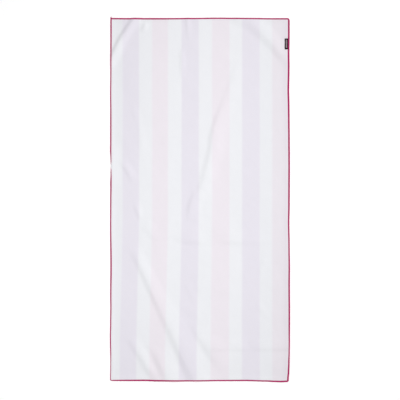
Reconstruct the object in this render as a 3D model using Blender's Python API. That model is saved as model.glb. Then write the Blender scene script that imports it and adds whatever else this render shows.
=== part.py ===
"""Beach towel, spread out on a flat surface with the soft folds of its packing.

Metres, +Z up. The origin is on the surface, under the middle of the towel. +Y runs
along the towel towards its top end, and +X is the side that carries the label.
The cloth is one sheet, its edge is wrapped in one run of overlock thread, and a folded
label is caught in the right-hand seam.
"""

import math
from collections import namedtuple

import bpy
import numpy as np
from mathutils import Vector
from mathutils.geometry import delaunay_2d_cdt

MM = 0.001

# Driving dimensions. The half sizes run from the middle of the towel to the middle
# of the edging.
HALF_WIDTH = 394.9 * MM
HALF_LENGTH = 804.1 * MM
CLOTH_THICKNESS = 1.4 * MM
GAP = 0.3 * MM

# Overlocked edging: a thread layer over, round and under the raw edge.
EDGING_WIDTH = 6.6 * MM
THREAD_LAYER = 0.5 * MM
THREAD_CHAMFER = 0.6 * MM
TAIL_LENGTH = 9.0 * MM
TAIL_POINTS = 3
TAIL_TAPER = 0.55

# Side label: a strip folded in two, its ends caught in the seam.
LABEL_LEFT = 376.2 * MM
LABEL_RIGHT = 391.6 * MM
LABEL_TOP = 716.1 * MM
LABEL_BOTTOM = 668.5 * MM
LABEL_THICKNESS = 0.9 * MM
LABEL_GAP = 0.35 * MM
LABEL_CORNER_CUT = 0.8 * MM
LABEL_CELLS = (6, 8)
LABEL_STEP_IN = 5.0 * MM

# Corner radii of the edging's middle line: top left, top right, bottom right, bottom left.
CORNER_RADII = (4.6 * MM, 6.5 * MM, 5.0 * MM, 4.6 * MM)
CORNER_STEPS = 4

# Near the edge the cloth climbs from the floor onto the thread below it.
RAMP_START = 8.0 * MM
RAMP_END = 22.0 * MM

# Spacing of the points along the edge and over the cloth. The edge gets fine steps where
# the cloth there stands higher than LEAST_RISE.
FINE_STEP = 10.0 * MM
COARSE_STEP = 34.0 * MM
LEAST_RISE = 0.12 * MM
RING_INSET = 3.6 * MM
GRID_STEP = 58.0 * MM
FOLD_STEP = 25.0 * MM
LEAST_SPACING = 6.5 * MM
CURVE_STEPS = 6
SAME_PLACE = 1e-7
SHARP_EDGE = math.radians(40)

# The cut edge isn't quite straight. Each row: place along the side, and how far the edge
# lies inside its straight line there, both in mm.
LEFT_SIDE = (
    (-790, -3.1), (-745, -1.5), (-700, -1.3), (-612, -2.9), (-545, -1.5), (-478, -0.3),
    (-425, -0.6), (-300, 0.0), (-115, -1.4), (-26, -1.0), (85, -0.2), (152, 0.7),
    (230, -1.0), (385, -0.9), (465, -1.7), (585, -1.1), (775, -0.2),
)
RIGHT_SIDE = (
    (-790, 4.7), (-768, 2.7), (-724, 0.6), (-679, -1.2), (-626, -1.8), (-506, -2.0),
    (-381, -1.3), (-301, -1.8), (-204, -0.8), (-101, 0.8), (-26, -0.4), (63, -0.9),
    (152, -1.2), (263, -0.7), (352, 0.2), (410, 0.8), (485, 2.3), (588, 0.8), (641, 1.4),
    (752, 0.1),
)
TOP_SIDE = (
    (-375, -0.3), (-331, 0.4), (-150, 0.3), (-44, -0.2), (82, -1.6), (225, -0.4), (336, 0.5),
)
BOTTOM_SIDE = (
    (-375, 1.8), (-244, 1.8), (-198, 0.4), (-87, -0.9), (2, -0.2), (91, 0.9), (202, 1.6),
    (291, -0.9), (336, -2.7), (358, -3.3), (380, -2.4),
)

# Folds: low ridges with a short steep side on the right of their line and a long gentle
# side on the left, as seen along the line. The line runs along the middle of the steep
# side. Its points are x, y, height, width of the steep side, width of the gentle side, in mm.
Fold = namedtuple("Fold", "name line")
FOLDS = (
    Fold("top left corner",
         ((-296, 817, 4.8, 20, 38), (-311, 792, 5.2, 19, 38), (-361, 716, 5.6, 18, 38),
          (-394, 645, 4.4, 18, 38), (-408, 614, 3.6, 18, 38))),
    Fold("top left nick", ((-244, 792, 0.0, 14, 22), (-252, 772, 2.8, 14, 22), (-267, 748, 0.0, 14, 22))),
    Fold("top right corner",
         ((140, 815, 2.2, 36, 60), (165, 788, 2.9, 38, 60), (221, 766, 4.0, 40, 60),
          (294, 699, 4.4, 38, 52), (347, 639, 3.6, 30, 44), (378, 603, 1.6, 32, 44),
          (402, 573, 1.0, 32, 44))),
    Fold("upper middle",
         ((176, 645, 0.0, 26, 60), (153, 588, 0.8, 26, 60), (109, 465, 1.0, 26, 60),
          (70, 365, 2.6, 22, 60), (49, 299, 3.4, 24, 70), (38, 217, 3.6, 24, 70),
          (10, 105, 2.4, 26, 60), (-9, 43, 1.6, 26, 60), (-22, -4, 0.0, 26, 60))),
    Fold("middle break",
         ((-27, 52, 0.0, 20, 56), (-30, 36, 1.3, 20, 56), (-35, 21, 2.3, 20, 58),
          (-51, -25, 2.4, 20, 60), (-58, -73, 0.9, 20, 56), (-60, -100, 0.0, 20, 56))),
    Fold("lower left",
         ((-314, -207, 0.0, 26, 40), (-299, -246, 1.3, 26, 44), (-266, -315, 2.8, 25, 46),
          (-228, -400, 3.2, 26, 54), (-183, -499, 3.1, 28, 80), (-130, -611, 3.8, 34, 100),
          (-85, -719, 4.7, 37, 100), (-52, -787, 4.6, 44, 100), (-41, -815, 4.4, 44, 100))),
    Fold("bottom left outer",
         ((-322, -612, 0.0, 26, 40), (-306, -647, 1.7, 26, 40), (-270, -705, 2.7, 28, 40),
          (-234, -766, 3.0, 29, 40), (-212, -790, 2.6, 29, 40), (-190, -815, 2.1, 29, 40))),
    Fold("bottom left inner",
         ((-240, -632, 0.0, 32, 80), (-220, -673, 1.2, 32, 80), (-197, -718, 3.8, 34, 90),
          (-175, -768, 5.0, 36, 90), (-160, -795, 4.8, 36, 90), (-146, -815, 4.3, 36, 90))),
    Fold("bottom middle",
         ((-46, -545, 0.0, 24, 70), (-26, -589, 1.3, 24, 80), (7, -643, 2.0, 30, 90),
          (46, -701, 2.4, 38, 90), (69, -732, 1.6, 40, 90), (104, -774, 0.0, 40, 90))),
    Fold("lower middle",
         ((-74, -365, 0.0, 18, 30), (-56, -405, 0.5, 18, 30), (-31, -464, 0.2, 18, 30),
          (-20, -492, 0.0, 18, 30))),
    Fold("waist crease",
         ((-264, -122, 0.0, 26, 44), (-240, -141, 0.9, 28, 44), (-199, -176, 1.0, 30, 60),
          (-124, -172, 1.2, 34, 90), (-80, -183, 1.4, 34, 90), (-13, -191, 1.6, 34, 90),
          (151, -194, 1.5, 34, 90), (276, -197, 0.9, 34, 90), (330, -199, 0.0, 34, 90))),
    Fold("lower crease",
         ((12, -670, 0.0, 26, 60), (58, -670, 1.4, 26, 60), (222, -667, 2.0, 24, 60),
          (382, -668, 2.0, 24, 60), (406, -669, 1.9, 24, 60))),
    Fold("right lower nick",
         ((240, -452, 0.0, 18, 28), (256, -482, 0.5, 18, 28), (282, -516, 0.5, 18, 28),
          (302, -542, 0.0, 18, 28))),
    Fold("right middle nick",
         ((282, -258, 0.0, 16, 26), (276, -277, 0.4, 16, 26), (260, -316, 0.3, 16, 26),
          (254, -338, 0.0, 16, 26))),
    Fold("left upper nick",
         ((-366, 240, 0.0, 18, 32), (-358, 216, 0.7, 18, 32), (-338, 148, 1.7, 18, 30),
          (-303, 100, 0.0, 18, 30))),
    Fold("left upper rib",
         ((-306, 410, 0.0, 18, 30), (-300, 385, 0.7, 18, 30), (-280, 336, 0.4, 18, 30),
          (-269, 243, 0.7, 18, 30), (-278, 172, 0.0, 18, 30))),
    Fold("left waist nick",
         ((-297, -8, 0.0, 14, 24), (-289, -38, 1.3, 14, 24), (-279, -66, 1.4, 14, 24),
          (-270, -94, 0.0, 14, 24))),
    Fold("upper dimple",
         ((-88, 676, 0.0, 14, 22), (-88, 640, 1.3, 14, 22), (-87, 600, 1.3, 14, 22),
          (-87, 570, 0.8, 14, 22), (-88, 540, 0.0, 14, 22))),
    Fold("top pucker",
         ((-62, 815, 1.6, 13, 18), (-62, 780, 1.6, 13, 18), (-60, 740, 0.7, 14, 20),
          (-58, 705, 0.0, 14, 20))),
)

# Broad low swells of the cloth: middle, half size and height, in mm.
Swell = namedtuple("Swell", "x y half_width half_length height")
SWELLS = (
    Swell(265, 60, 190, 260, 1.6),
    Swell(-215, 470, 150, 190, 1.2),
    Swell(70, -330, 150, 120, 1.3),
    Swell(250, -760, 170, 110, 1.8),
)

# Colours and finish: base colour, roughness, sheen.
CLOTH_FINISH = ((0.80, 0.79, 0.83, 1.0), 0.95, 0.3)
EDGING_FINISH = ((0.25, 0.012, 0.055, 1.0), 0.75, 0.1)
LABEL_FINISH = ((0.012, 0.010, 0.012, 1.0), 0.6, 0.0)


def smooth(value):
    """Ease from 0 to 1 over the unit range, level at both ends."""
    value = np.clip(value, 0.0, 1.0)
    return value * value * (3.0 - 2.0 * value)


def read_side(table, along):
    """How far inside its straight line a side lies, at a place along it."""
    places = np.array([row[0] for row in table]) * MM
    insets = np.array([row[1] for row in table]) * MM
    nxt = np.clip(np.searchsorted(places, along), 1, len(places) - 1)
    share = smooth((along - places[nxt - 1]) / (places[nxt] - places[nxt - 1]))
    return insets[nxt - 1] + (insets[nxt] - insets[nxt - 1]) * share


def left_x(y):
    return -HALF_WIDTH + read_side(LEFT_SIDE, y)


def right_x(y):
    return HALF_WIDTH - read_side(RIGHT_SIDE, y)


def top_y(x):
    return HALF_LENGTH - read_side(TOP_SIDE, x)


def bottom_y(x):
    return -HALF_LENGTH + read_side(BOTTOM_SIDE, x)


def fold_curve(fold):
    """Points of a smooth curve through a fold's line: x, y, height and the two widths, in metres."""
    rows = np.array(fold.line, float) * MM
    rows = np.vstack([2 * rows[0] - rows[1], rows, 2 * rows[-1] - rows[-2]])
    rows[[0, -1], 3:] = rows[[1, -2], 3:]
    points = []
    for first in range(len(rows) - 3):
        a, b, c, d = rows[first:first + 4]
        for step in range(CURVE_STEPS):
            u = step / CURVE_STEPS
            points.append(0.5 * (2 * b + (c - a) * u + (2 * a - 5 * b + 4 * c - d) * u ** 2
                                 + (3 * b - 3 * c + d - a) * u ** 3))
    points.append(rows[-2])
    curve = np.array(points)
    curve[:, 2] = np.maximum(curve[:, 2], 0.0)
    return curve


def fold_rise(fold, places):
    """Height that one fold adds at each x, y place."""
    curve = fold_curve(fold)
    reach = curve[:, 3:].sum(1).max()
    low, high = curve[:, :2].min(0) - reach, curve[:, :2].max(0) + reach
    near = np.all((places > low) & (places < high), axis=1)
    rise = np.zeros(len(places))
    rise[near] = ridge(curve, places[near])
    return rise


def ridge(curve, places):
    """Height of a ridge along a curve, at each x, y place."""
    nearest = np.full(len(places), np.inf)
    rise = np.zeros(len(places))
    for start, end in zip(curve[:-1], curve[1:]):
        run = end[:2] - start[:2]
        offset = places - start[:2]
        share = np.clip(offset @ run / float(run @ run), 0.0, 1.0)
        away = offset - share[:, None] * run
        distance = np.hypot(away[:, 0], away[:, 1])
        side = np.where(offset[:, 1] * run[0] - offset[:, 0] * run[1] >= 0.0, 1.0, -1.0)
        height, steep, gentle = (start[k] + (end[k] - start[k]) * share for k in (2, 3, 4))
        across = side * distance
        climb = smooth(across / steep + 0.5)
        fall = 1.0 - smooth((across - steep / 2) / gentle)
        closer = distance < nearest
        rise = np.where(closer, height * climb * fall, rise)
        nearest = np.where(closer, distance, nearest)
    return rise


def swell_rise(swell, places):
    """Height that one broad swell adds at each x, y place."""
    u = (places[:, 0] / MM - swell.x) / swell.half_width
    v = (places[:, 1] / MM - swell.y) / swell.half_length
    return swell.height * MM * (1.0 - smooth(np.hypot(u, v)))


def ground_rise(places):
    """Height of the folded surface above the floor. It is 0 where the cloth lies flat."""
    places = np.asarray(places, float).reshape(-1, 2)
    rise = sum(fold_rise(fold, places) for fold in FOLDS)
    return rise + sum(swell_rise(swell, places) for swell in SWELLS)


def edge_distance(places):
    """Distance from each place inwards from the edging's middle line."""
    x, y = places[:, 0], places[:, 1]
    sides = (x - left_x(y), right_x(y) - x, top_y(x) - y, y - bottom_y(x))
    return np.minimum.reduce(sides)


def cloth_underside(places):
    """Height of the cloth's underside, raised near the edge by the thread under it."""
    places = np.asarray(places, float).reshape(-1, 2)
    ramp = smooth((edge_distance(places) - RAMP_START) / (RAMP_END - RAMP_START))
    return ground_rise(places) + (THREAD_LAYER + GAP) * (1.0 - ramp)


def walk_side(point_at, start, end, must_have=()):
    """Places along one side, close together where a fold meets the edge."""
    count = max(2, round(abs(end - start) / FINE_STEP))
    fine = np.linspace(start, end, count + 1)
    rise = ground_rise([point_at(value) for value in fine])
    kept = [fine[0]]
    for index in range(1, count):
        folded = rise[index - 1:index + 2].max() > LEAST_RISE
        if folded or abs(fine[index] - kept[-1]) > COARSE_STEP - FINE_STEP / 2:
            kept.append(fine[index])
    kept = [value for value in kept if all(abs(value - must) > FINE_STEP / 2 for must in must_have)]
    kept += list(must_have) + [end]
    return sorted(kept, reverse=bool(end < start))


def corner_arc(middle, radius, start_angle):
    """Points of a quarter circle, turning clockwise from start_angle."""
    angles = [start_angle - math.pi / 2 * step / CORNER_STEPS for step in range(1, CORNER_STEPS)]
    return [(middle[0] + radius * math.cos(a), middle[1] + radius * math.sin(a)) for a in angles]


def edge_line():
    """The edging's middle line, clockwise from just right of the top left corner."""
    top_left, top_right, bottom_right, bottom_left = CORNER_RADII
    corner_x = (left_x(HALF_LENGTH), right_x(HALF_LENGTH), right_x(-HALF_LENGTH), left_x(-HALF_LENGTH))
    corner_y = (top_y(-HALF_WIDTH), top_y(HALF_WIDTH), bottom_y(HALF_WIDTH), bottom_y(-HALF_WIDTH))
    label_ends = [LABEL_TOP + LABEL_STEP_IN, LABEL_TOP, LABEL_BOTTOM, LABEL_BOTTOM - LABEL_STEP_IN]

    line = [(x, top_y(x)) for x in walk_side(
        lambda x: (x, top_y(x)), corner_x[0] + top_left, corner_x[1] - top_right)]
    line += corner_arc((corner_x[1] - top_right, corner_y[1] - top_right), top_right, math.pi / 2)
    line += [(right_x(y), y) for y in walk_side(
        lambda y: (right_x(y), y), corner_y[1] - top_right, corner_y[2] + bottom_right, label_ends)]
    line += corner_arc((corner_x[2] - bottom_right, corner_y[2] + bottom_right), bottom_right, 0.0)
    line += [(x, bottom_y(x)) for x in walk_side(
        lambda x: (x, bottom_y(x)), corner_x[2] - bottom_right, corner_x[3] + bottom_left)]
    line += corner_arc((corner_x[3] + bottom_left, corner_y[3] + bottom_left), bottom_left, -math.pi / 2)
    line += [(left_x(y), y) for y in walk_side(
        lambda y: (left_x(y), y), corner_y[3] + bottom_left, corner_y[0] - top_left)]
    return np.array(line), (corner_x[0], corner_y[0])


def outward_normals(line, closed):
    """Unit normals on the outer side of a clockwise line."""
    if closed:
        ahead, behind = np.roll(line, -1, axis=0), np.roll(line, 1, axis=0)
    else:
        ahead = np.vstack([line[1:], line[-1:]])
        behind = np.vstack([line[:1], line[:-1]])
    along = ahead - behind
    along /= np.hypot(along[:, 0], along[:, 1])[:, None]
    return np.column_stack([-along[:, 1], along[:, 0]])


def finish_material(name, finish):
    colour, roughness, sheen = finish
    material = bpy.data.materials.new(name)
    material.use_nodes = True
    shader = material.node_tree.nodes["Principled BSDF"]
    shader.inputs["Base Color"].default_value = colour
    shader.inputs["Roughness"].default_value = roughness
    shader.inputs["Sheen Weight"].default_value = sheen
    material.diffuse_color = colour
    return material


def add_piece(name, points, faces, finish):
    mesh = bpy.data.meshes.new(name)
    mesh.from_pydata([tuple(point) for point in points], [], faces)
    mesh.validate()
    mesh.update()
    mesh.shade_smooth()
    mesh.set_sharp_from_angle(angle=SHARP_EDGE)
    mesh.materials.append(finish_material(name + "_finish", finish))
    piece = bpy.data.objects.new(name, mesh)
    bpy.context.scene.collection.objects.link(piece)
    return piece


def slab_from_sheet(places, triangles, underside, thickness):
    """Close a flat net of triangles into a sheet: top, underside and rim."""
    count = len(places)
    points = [(x, y, z + thickness) for (x, y), z in zip(places, underside)]
    points += [(x, y, z) for (x, y), z in zip(places, underside)]
    faces = [tuple(face) for face in triangles]
    faces += [tuple(corner + count for corner in reversed(face)) for face in triangles]
    edges = {(face[k], face[(k + 1) % len(face)]) for face in triangles for k in range(len(face))}
    rim = [(start, end) for start, end in edges if (end, start) not in edges]
    faces += [(start + count, end + count, end, start) for start, end in sorted(rim)]
    return points, faces


def cloth_places(rings):
    """Places inside the edge rings: the rim's ramp, the folds, the label's bed and a wide grid."""
    line, normals = rings
    wanted = [line - normals * RAMP_START]
    wanted.append((line - normals * (RAMP_START + RAMP_END) / 2)[::2])
    wanted.append((line - normals * RAMP_END)[::2])

    columns, rows = LABEL_CELLS
    step_x = (LABEL_RIGHT - LABEL_LEFT) / columns
    step_y = (LABEL_TOP - LABEL_BOTTOM) / rows
    label_x = LABEL_LEFT + step_x * np.arange(-1, columns + 1)
    label_y = LABEL_BOTTOM + step_y * np.arange(-1, rows + 2)
    label_bed = np.array([(x, y) for x in label_x for y in label_y])

    for fold in FOLDS:
        curve = fold_curve(fold)
        length = np.concatenate([[0.0], np.cumsum(np.hypot(*np.diff(curve[:, :2], axis=0).T))])
        count = max(2, round(length[-1] / FOLD_STEP))
        at = np.linspace(0.0, length[-1], count + 1)
        spine = np.column_stack([np.interp(at, length, curve[:, k]) for k in (0, 1)])
        steep, gentle = (np.interp(at, length, curve[:, k])[:, None] for k in (3, 4))
        lit_side = outward_normals(spine, closed=False)
        for across in (0.5, -0.5, 0.0):
            wanted.append(spine + lit_side * across * steep)
        for across in (0.5, 1.0):
            wanted.append(spine + lit_side * (steep / 2 + across * gentle))
    grid_x = np.linspace(-HALF_WIDTH, HALF_WIDTH, round(2 * HALF_WIDTH / GRID_STEP) + 1)
    grid_y = np.linspace(-HALF_LENGTH, HALF_LENGTH, round(2 * HALF_LENGTH / GRID_STEP) + 1)
    wanted.append(np.array([(x, y) for x in grid_x[1:-1] for y in grid_y[1:-1]]))

    kept = label_bed[edge_distance(label_bed) > RING_INSET + GAP]
    spacing = LEAST_SPACING
    for index, group in enumerate(wanted):
        if index == len(wanted) - 1:
            spacing = GRID_STEP / 2
        group = group[edge_distance(group) > RAMP_START - GAP]
        for place in group:
            if np.min(np.hypot(*(kept - place).T)) > spacing:
                kept = np.vstack([kept, place])
    return kept


def make_cloth(line):
    """One sheet of cloth on its folds, cut a thread's width inside the edging."""
    normals = outward_normals(line, closed=True)
    cut_edge = line + normals * (EDGING_WIDTH / 2 - THREAD_LAYER - GAP)
    inner_ring = line - normals * RING_INSET
    inside = np.vstack([inner_ring, cloth_places((line, normals))])
    count = len(line)
    verts, _, triangles, origins, *_ = delaunay_2d_cdt(
        [Vector(place) for place in inside], [], [list(range(count))], 1, SAME_PLACE)
    new_index = {old: new for new, olds in enumerate(origins) for old in olds}
    places = np.vstack([[tuple(vert) for vert in verts], cut_edge])

    # The strip inside the edging is split the same way as the edging's own arms, so that
    # the two stay a gap apart where a fold twists them.
    for k in range(count):
        inner, inner_next = new_index[k], new_index[(k + 1) % count]
        outer, outer_next = len(verts) + k, len(verts) + (k + 1) % count
        triangles += [(outer, outer_next, inner_next), (outer, inner_next, inner)]
    corners = places[np.array(triangles)]
    turn = np.cross(corners[:, 1] - corners[:, 0], corners[:, 2] - corners[:, 0])
    triangles = [tuple(face) if side > 0 else tuple(reversed(face)) for face, side in zip(triangles, turn)]
    points, faces = slab_from_sheet(places, triangles, cloth_underside(places), CLOTH_THICKNESS)
    return add_piece("towel_cloth", points, faces, CLOTH_FINISH)


def label_lift(y):
    """How far the upper thread layer is raised where it crosses the label's end."""
    beyond = np.maximum(y - LABEL_TOP, LABEL_BOTTOM - y)
    return (LABEL_THICKNESS + LABEL_GAP) * (1.0 - smooth(beyond / LABEL_STEP_IN))


def edging_section(lift):
    """Outline of the wrapped thread, as distance outwards and height, from below the cloth."""
    half = EDGING_WIDTH / 2
    layer = THREAD_LAYER
    top = 2 * layer + 2 * GAP + CLOTH_THICKNESS + lift
    return (
        (-half, 0.0), (half - THREAD_CHAMFER, 0.0), (half, THREAD_CHAMFER),
        (half, top - THREAD_CHAMFER), (half - THREAD_CHAMFER, top), (-half, top),
        (-half, top - layer), (half - layer, top - layer), (half - layer, layer), (-half, layer),
    )


# Sides of the section whose second corner is the outer one: both faces that run outwards.
OUTER_SECOND = (0, 6)
# The faces that close an end of the section: lower arm, outer side and upper arm.
SECTION_FACES = ((0, 1, 8, 9), (1, 2, 8), (2, 3, 7, 8), (3, 4, 7), (4, 5, 6, 7))


def make_edging(line, corner):
    """One run of overlock thread round the cloth, ending in a short pointed tail."""
    start = (corner[0] + EDGING_WIDTH / 2 + GAP, line[0][1])
    tail_start = corner[1] + EDGING_WIDTH / 2
    tail_tip = corner[1] + TAIL_LENGTH
    tail = [(corner[0], y) for y in np.linspace(tail_start, tail_tip, TAIL_POINTS + 1)]
    run = np.vstack([[start], line[1:], [corner], tail])
    normals = outward_normals(run, closed=False)

    points = []
    for place, normal in zip(run, normals):
        beyond = (place[1] - tail_start) / (tail_tip - tail_start)
        scale = 1.0 - TAIL_TAPER * float(np.clip(beyond, 0.0, 1.0))
        on_label = place[0] > LABEL_LEFT
        lift = float(label_lift(place[1])) if on_label else 0.0
        section = edging_section(lift)
        across = np.array([place + normal * out * scale for out, _ in section])
        ground = ground_rise(across)
        points += [(x, y, z * scale + base) for (x, y), (_, z), base in zip(across, section, ground)]

    size = len(edging_section(0.0))
    faces = []
    for ring in range(len(run) - 1):
        for k in range(size):
            here, following = ring * size + k, ring * size + (k + 1) % size
            if k in OUTER_SECOND:
                faces += [(here, following, here + size), (following, following + size, here + size)]
            else:
                faces += [(here, following, following + size), (here, following + size, here + size)]
    last = (len(run) - 1) * size
    faces += [tuple(reversed(face)) for face in SECTION_FACES]
    faces += [tuple(last + k for k in face) for face in SECTION_FACES]
    return add_piece("edging", points, faces, EDGING_FINISH)


def make_label():
    """A folded woven strip on the cloth, its right-hand end under the edging."""
    columns, rows = LABEL_CELLS
    places, triangles = [], []
    for row in range(rows + 1):
        for column in range(columns + 1):
            x = LABEL_LEFT + (LABEL_RIGHT - LABEL_LEFT) * column / columns
            y = LABEL_BOTTOM + (LABEL_TOP - LABEL_BOTTOM) * row / rows
            if column == 0 and row in (0, rows):
                x += LABEL_CORNER_CUT
                y += LABEL_CORNER_CUT if row == 0 else -LABEL_CORNER_CUT
            places.append((x, y))
    wide = columns + 1
    for row in range(rows):
        for column in range(columns):
            here = row * wide + column
            triangles += [(here, here + 1, here + wide + 1), (here, here + wide + 1, here + wide)]
    places = np.array(places)
    underside = cloth_underside(places) + CLOTH_THICKNESS + LABEL_GAP
    points, faces = slab_from_sheet(places, triangles, underside, LABEL_THICKNESS)
    return add_piece("side_label", points, faces, LABEL_FINISH)


def main():
    for old in list(bpy.data.objects):
        bpy.data.objects.remove(old, do_unlink=True)
    line, corner = edge_line()
    top_left = CORNER_RADII[0]
    closing_arc = corner_arc((corner[0] + top_left, corner[1] - top_left), top_left, math.pi)
    make_cloth(np.vstack([line, np.array(closing_arc)]))
    make_edging(line, corner)
    make_label()


main()
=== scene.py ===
"""Looks of a striped beach towel that lies spread out on a pale floor.

The cloth, its overlocked edging and its side label are modelled in metres, in the frame of
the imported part: +Z up, +Y towards the towel's top end, +X towards the side with the label.
"""

import math
from collections import namedtuple

import bpy
import numpy as np
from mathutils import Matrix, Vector, noise


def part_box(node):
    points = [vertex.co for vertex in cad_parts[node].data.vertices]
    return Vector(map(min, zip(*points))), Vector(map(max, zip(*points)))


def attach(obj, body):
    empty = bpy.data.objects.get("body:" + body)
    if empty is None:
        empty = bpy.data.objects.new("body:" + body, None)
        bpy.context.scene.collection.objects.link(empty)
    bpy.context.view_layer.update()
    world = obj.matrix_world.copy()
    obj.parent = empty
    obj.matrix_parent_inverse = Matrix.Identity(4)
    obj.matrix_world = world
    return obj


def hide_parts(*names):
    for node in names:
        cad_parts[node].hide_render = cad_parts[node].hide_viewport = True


bl_info = {
    "name": "Striped beach towel",
    "version": (1, 0, 0),
    "blender": (4, 5, 0),
    "location": "3D View > Sidebar > Towel",
    "description": "Lays out a striped beach towel with an overlocked edge and a side label",
    "category": "Object",
}

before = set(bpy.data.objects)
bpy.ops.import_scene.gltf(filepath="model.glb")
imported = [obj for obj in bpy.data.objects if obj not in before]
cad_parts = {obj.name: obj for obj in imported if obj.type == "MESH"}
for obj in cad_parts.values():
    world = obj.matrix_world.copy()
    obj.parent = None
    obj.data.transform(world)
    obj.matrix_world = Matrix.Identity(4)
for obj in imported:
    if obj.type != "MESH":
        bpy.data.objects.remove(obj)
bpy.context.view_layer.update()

# One millimetre, in metres.
MM = 0.001

# Middle line of the edging, from the middle of the towel.
HALF_WIDTH = 394.9 * MM
HALF_LENGTH = 804.1 * MM
# Gap between the cloth and the thread under it, and between the edging's start and its tail.
GAP = 0.3 * MM

# How far the cut edge lies inside the edging's outer side.
CUT_INSET = 2.05 * MM

# The cut edge isn't quite straight. Each row: place along the side, and how far the edge
# lies inside its straight line there, both in mm.
LEFT_SIDE = (
    (-790, -2.4), (-745, -1.5), (-700, -1.3), (-612, -2.9), (-545, -1.5), (-478, -0.8),
    (-425, -1.1), (-300, 0.0), (-115, -1.6), (-26, -1.3), (85, -0.3), (152, -0.4),
    (230, -1.2), (385, -0.9), (465, -1.7), (585, -0.7), (775, -0.2),
)
RIGHT_SIDE = (
    (-790, 4.0), (-768, 1.7), (-724, 0.1), (-679, -1.2), (-626, -1.8), (-506, -2.0),
    (-381, -1.3), (-301, -1.8), (-204, -0.8), (-101, 0.8), (-26, -0.4), (63, -0.9),
    (152, -1.2), (263, -0.7), (352, 0.2), (410, 0.8), (485, 2.3), (588, 0.8), (641, 1.4),
    (752, 0.1),
)
TOP_SIDE = (
    (-375, -0.2), (-331, 0.3), (-150, 0.4), (-44, -0.5), (82, -1.9), (225, 0.0), (336, 0.5),
)
BOTTOM_SIDE = (
    (-375, 1.3), (-244, 1.5), (-198, 0.1), (-87, -0.5), (2, 0.1), (91, 0.5), (202, 1.3),
    (291, -1.1), (336, -2.8), (358, -3.6), (380, -2.7),
)
# The edging lies flatter and so looks wider in some places than in others. Each row: distance
# clockwise from the top left corner, in mm, and its width there as a share of its plain width.
EDGING_SPREAD = (
    (0, 1.00), (175, 1.10), (390, 0.94), (495, 1.00), (600, 0.92), (710, 0.98), (780, 1.06),
    (800, 1.26), (1080, 1.28), (1300, 1.22), (1600, 1.20), (1720, 1.04), (1830, 1.04),
    (1940, 1.16), (2150, 1.15), (2255, 0.90), (2360, 1.18), (2430, 1.18), (2500, 0.98),
    (2800, 0.90), (3010, 1.17), (3110, 0.97), (3165, 0.86), (3192, 0.52), (3262, 0.50),
    (3300, 0.72), (3440, 0.80), (3545, 0.90), (3650, 1.03), (3760, 1.01), (3865, 0.83),
    (4080, 0.98), (4185, 0.86), (4290, 0.96), (4500, 0.78), (4720, 0.96), (4800, 0.96),
)
# Corner radii of the middle line: top left, top right, bottom right, bottom left.
CORNER_RADII = (4.6 * MM, 6.5 * MM, 5.0 * MM, 4.6 * MM)
# Spacing of the middle line's points on the sides, and how many steps a corner has.
EDGING_STEP = 4.0 * MM
ARC_STEPS = 6

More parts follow.
